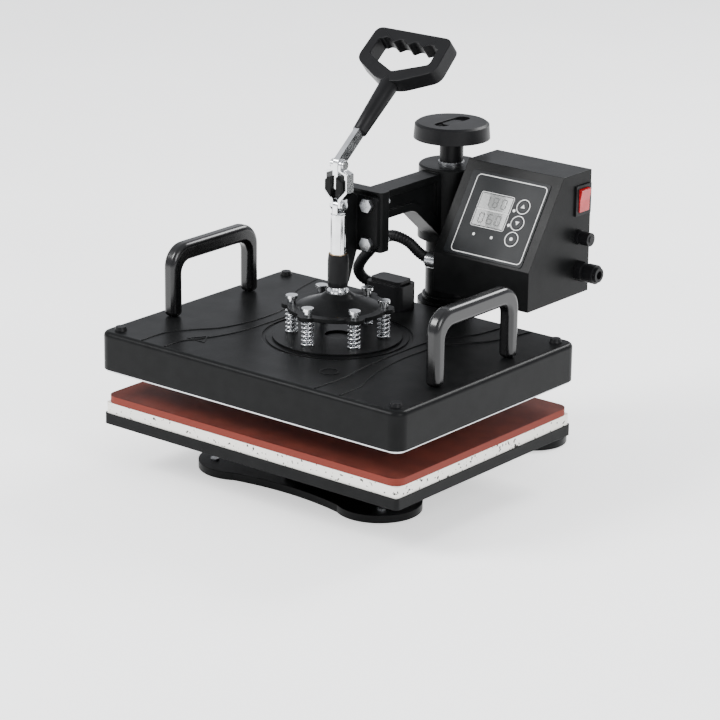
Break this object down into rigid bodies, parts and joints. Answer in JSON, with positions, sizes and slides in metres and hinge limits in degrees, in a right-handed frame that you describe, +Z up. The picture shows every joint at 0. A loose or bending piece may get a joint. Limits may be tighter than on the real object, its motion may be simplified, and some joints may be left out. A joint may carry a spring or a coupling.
{
  "type": "heat press",
  "caption": "Swing-arm heat press: flat heated head on a toggle lever, silicone-topped lower board, pressure knob over the column and a control box on the arm.",
  "frame": {"origin": "centre of the bounding box, on the table under the rubber feet", "axes": "+Z up, -Y towards the operator, +X towards the side with the control box"},
  "size_m": [0.388, 0.4, 0.443],
  "materials": {
    "casting": "satin black powder coat",
    "rubber": "matte",
    "bright_steel": "zinc plated",
    "chrome": "polished",
    "board": "white fibre board with dark specks",
    "silicone": "red-brown silicone, matte",
    "bronze": "sintered",
    "moulded_black": "fine grained",
    "gloss_black": "gloss",
    "platen_metal": "machined",
    "element": "heat darkened",
    "mat": "woven glass fibre",
    "panel": "printed overlay",
    "window": "grey display windows",
    "lens": "clear lenses",
    "circuit": "solder mask",
    "winding": "varnished",
    "red": "translucent red",
    "key_cap": "light grey"
  },
  "bodies": {
    "base": {"base_casting": "casting", "rubber_feet": "rubber", "foot_screws": "bright_steel", "column": "casting", "column_nut": "bright_steel", "tray_bracket": "casting", "tray_bolts": "bright_steel", "tray": "casting", "insulation_board": "board", "silicone_pad": "silicone"},
    "carrier": {"boss_bushes": "bronze"},
    "knob": {"thrust_washer": "bright_steel", "pressure_knob": "moulded_black", "knob_insert": "moulded_black", "knob_spindle": "bright_steel"},
    "arm": {"arm_casting": "casting", "toggle_bracket": "casting", "bracket_bolts": "bright_steel", "guide_sleeve": "moulded_black", "guide_bush": "bronze", "pivot_pin": "bright_steel", "box_shell": "casting", "box_rear_cover": "casting", "box_screws": "bright_steel", "panel_overlay": "panel", "display_windows": "window", "indicator_lenses": "lens", "circuit_board": "circuit", "transformer": "winding", "rocker_frame": "moulded_black", "fuse_holder": "moulded_black", "cable_gland": "moulded_black", "conduit_fitting": "bright_steel", "conduit": "moulded_black"},
    "lever": {"lever_bar": "chrome", "lever_grip": "moulded_black", "link_pin": "chrome"},
    "link": {"side_links": "chrome", "link_rivets": "chrome"},
    "head": {"press_shaft": "chrome", "shaft_pin": "bright_steel", "shaft_collar": "chrome", "spider_plate": "casting", "spring_bolts": "chrome", "pressure_springs": "chrome", "top_cover": "casting", "clamp_disc": "casting", "cover_screws": "moulded_black", "left_handle": "gloss_black", "right_handle": "gloss_black", "handle_screws": "bright_steel", "insulation_mat": "mat", "heating_element": "element", "heating_platen": "platen_metal", "junction_box": "moulded_black"},
    "rocker": {"rocker_button": "red"},
    "up": {"up_button": "key_cap"},
    "down": {"down_button": "key_cap"},
    "set": {"set_button": "key_cap"},
    "fuse": {"fuse_cap": "moulded_black"}
  },
  "joints": [
    {"name": "arm_lift", "type": "slide", "parent": "base", "child": "carrier", "axis": [0, 0, 1], "range_m": [0, 0.01]},
    {"name": "arm_swing", "type": "hinge", "parent": "carrier", "child": "arm", "pos_m": [0, 0.129, 0.25], "axis": [0, 0, 1], "range_deg": [-120, 120]},
    {"name": "knob_spin", "type": "hinge", "parent": "carrier", "child": "knob", "pos_m": [0, 0.129, 0.33], "axis": [0, 0, 1], "range_deg": [0, 1800]},
    {"name": "lever_swing", "type": "hinge", "parent": "arm", "child": "lever", "pos_m": [0, -0.055, 0.306], "axis": [1, 0, 0], "range_deg": [0, 114]},
    {"name": "link_swing", "type": "hinge", "parent": "lever", "child": "link", "pos_m": [0, -0.055, 0.329], "axis": [1, 0, 0], "range_deg": [-84, 0]},
    {"name": "head_slide", "type": "slide", "parent": "arm", "child": "head", "axis": [0, 0, -1], "range_m": [0, 0.0267], "deforming": ["conduit"]},
    {"name": "rocker_tilt", "type": "hinge", "parent": "arm", "child": "rocker", "pos_m": [0.1575, 0.142, 0.281], "axis": [0, 1, 0], "range_deg": [-12, 0]},
    {"name": "fuse_twist", "type": "hinge", "parent": "arm", "child": "fuse", "pos_m": [0.1575, 0.138, 0.242], "axis": [1, 0, 0], "range_deg": [0, 90]},
    {"name": "up_press", "type": "slide", "parent": "arm", "child": "up", "axis": [0, 0.8384, -0.5451], "range_m": [0, 0.001], "stiffness_N_per_m": 400, "springref_m": -0.0005},
    {"name": "down_press", "type": "slide", "parent": "arm", "child": "down", "axis": [0, 0.8384, -0.5451], "range_m": [0, 0.001], "stiffness_N_per_m": 400, "springref_m": -0.0005},
    {"name": "set_press", "type": "slide", "parent": "arm", "child": "set", "axis": [0, 0.8384, -0.5451], "range_m": [0, 0.001], "stiffness_N_per_m": 400, "springref_m": -0.0005}
  ],
  "couplings": [
    {"joint": "lever_swing", "follows": "head_slide", "rad_per_m": 74.519},
    {"joint": "link_swing", "follows": "head_slide", "rad_per_m": -54.909},
    {"joint": "knob_spin", "follows": "arm_lift", "rad_per_m": 3141.5}
  ]
}
